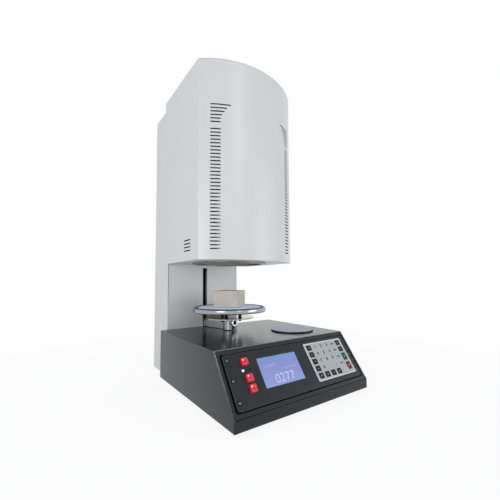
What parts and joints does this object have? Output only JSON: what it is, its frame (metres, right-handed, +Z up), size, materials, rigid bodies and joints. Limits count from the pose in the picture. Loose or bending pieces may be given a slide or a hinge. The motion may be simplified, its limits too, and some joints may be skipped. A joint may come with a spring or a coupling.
{
  "type": "dental lab furnace",
  "caption": "Bench-top dental firing furnace: wedge control base, tall column, round-fronted head with muffle, and a motor-lifted platform that closes it.",
  "frame": {"origin": "on the bench plane, under the middle of the furnace's overall width and depth", "axes": "+Z up, the control panel faces -Y, +X to the right as seen from the front"},
  "size_m": [0.34, 0.4486, 0.7226],
  "materials": {
    "graphite_paint": "fine-textured graphite powder coat, satin gloss",
    "panel_paint": "satin graphite front plate",
    "light_paint": "light cool-grey powder coat, satin",
    "black_steel": "black oxide or black paint",
    "zinc_steel": "zinc-plated steel",
    "polished_steel": "polished stainless steel",
    "aluminium": "machined aluminium",
    "bronze": "machined bronze",
    "copper_winding": "enamelled copper winding",
    "element_wire": "oxidised resistance wire",
    "dark_rubber": "moulded rubber",
    "black_plastic": "moulded black plastic",
    "keypad_film": "light grey printed membrane with embossed keys",
    "display_glass": "backlit lavender-blue display window",
    "red_lens": "glossy translucent red plastic",
    "clear_lens": "clear lens",
    "green_board": "solder-resist green circuit board",
    "blue_silicone": "dark blue silicone",
    "white_fibre": "pressed white ceramic fibre",
    "muffle_fibre": "vacuum-formed ceramic fibre",
    "beige_ceramic": "porous beige refractory",
    "lavender_anodised": "lavender-grey anodised plate with a dark edge"
  },
  "bodies": {
    "furnace": {"base_cover": "graphite_paint", "base_bottom_plate": "graphite_paint", "base_rear_plate": "graphite_paint", "foot_front_left": "dark_rubber", "foot_front_right": "dark_rubber", "foot_rear_left": "dark_rubber", "foot_rear_right": "dark_rubber", "tower_foot_left": "dark_rubber", "tower_foot_right": "dark_rubber", "power_board": "green_board", "transformer": "copper_winding", "mains_inlet": "black_plastic", "switch_housing": "black_plastic", "vacuum_nipple": "bronze", "panel_frame": "black_steel", "control_panel": "panel_paint", "display_glass": "display_glass", "display_module": "black_steel", "keypad_overlay": "keypad_film", "button_body_1": "black_plastic", "button_body_2": "black_plastic", "button_body_3": "black_plastic", "status_indicator": "clear_lens", "ready_indicator": "clear_lens", "control_board": "green_board", "tower_shell": "light_paint", "tower_back_cover": "light_paint", "tower_bottom_plate": "zinc_steel", "head_top_plate": "light_paint", "head_bottom_plate": "light_paint", "muffle_flange": "zinc_steel", "muffle_insulation": "muffle_fibre", "muffle_casing": "zinc_steel", "thermocouple": "zinc_steel", "heating_coil": "element_wire", "lower_bearing_plate": "zinc_steel", "upper_bearing_plate": "zinc_steel", "guide_rod_left": "polished_steel", "guide_rod_right": "polished_steel", "lift_motor": "black_steel"},
    "lift": {"lift_carriage": "aluminium", "lift_nut": "bronze", "lift_arm": "aluminium", "arm_clamp_screw": "polished_steel", "support_disc": "polished_steel", "platform_stud_1": "black_steel", "platform_stud_2": "black_steel", "platform_stud_3": "black_steel", "platform_disc": "polished_steel", "seal_ring": "blue_silicone", "fibre_table": "white_fibre", "firing_block": "beige_ceramic"},
    "screw": {"lead_screw": "polished_steel"},
    "button_1": {"button_cap_1": "red_lens"},
    "button_2": {"button_cap_2": "red_lens"},
    "button_3": {"button_cap_3": "red_lens"},
    "rocker": {"switch_rocker": "red_lens"},
    "cooling_tray": {"cooling_plate": "lavender_anodised"}
  },
  "joints": [
    {"name": "lift_slide", "type": "slide", "parent": "furnace", "child": "lift", "axis": [0, 0, 1], "range_m": [0, 0.1045]},
    {"name": "screw_turn", "type": "hinge", "parent": "furnace", "child": "screw", "pos_m": [-0.0498, 0.164, 0.2], "axis": [0, 0, 1], "range_deg": [-4703, 0]},
    {"name": "button_1_press", "type": "slide", "parent": "furnace", "child": "button_1", "axis": [0, 0.8139, -0.581], "range_m": [0, 0.0015], "stiffness_N_per_m": 400, "springref_m": -0.001},
    {"name": "button_2_press", "type": "slide", "parent": "furnace", "child": "button_2", "axis": [0, 0.8139, -0.581], "range_m": [0, 0.0015], "stiffness_N_per_m": 400, "springref_m": -0.001},
    {"name": "button_3_press", "type": "slide", "parent": "furnace", "child": "button_3", "axis": [0, 0.8139, -0.581], "range_m": [0, 0.0015], "stiffness_N_per_m": 400, "springref_m": -0.001},
    {"name": "rocker_flip", "type": "hinge", "parent": "furnace", "child": "rocker", "pos_m": [0.1205, 0.1187, 0.086], "axis": [1, 0, 0], "range_deg": [0, 18]},
    {"name": "cooling_tray_lift", "type": "slide", "parent": "furnace", "child": "cooling_tray", "axis": [0, 0, 1], "range_m": [0, 0.06]}
  ],
  "couplings": [
    {"joint": "screw_turn", "follows": "lift_slide", "rad_per_m": -785.4}
  ]
}
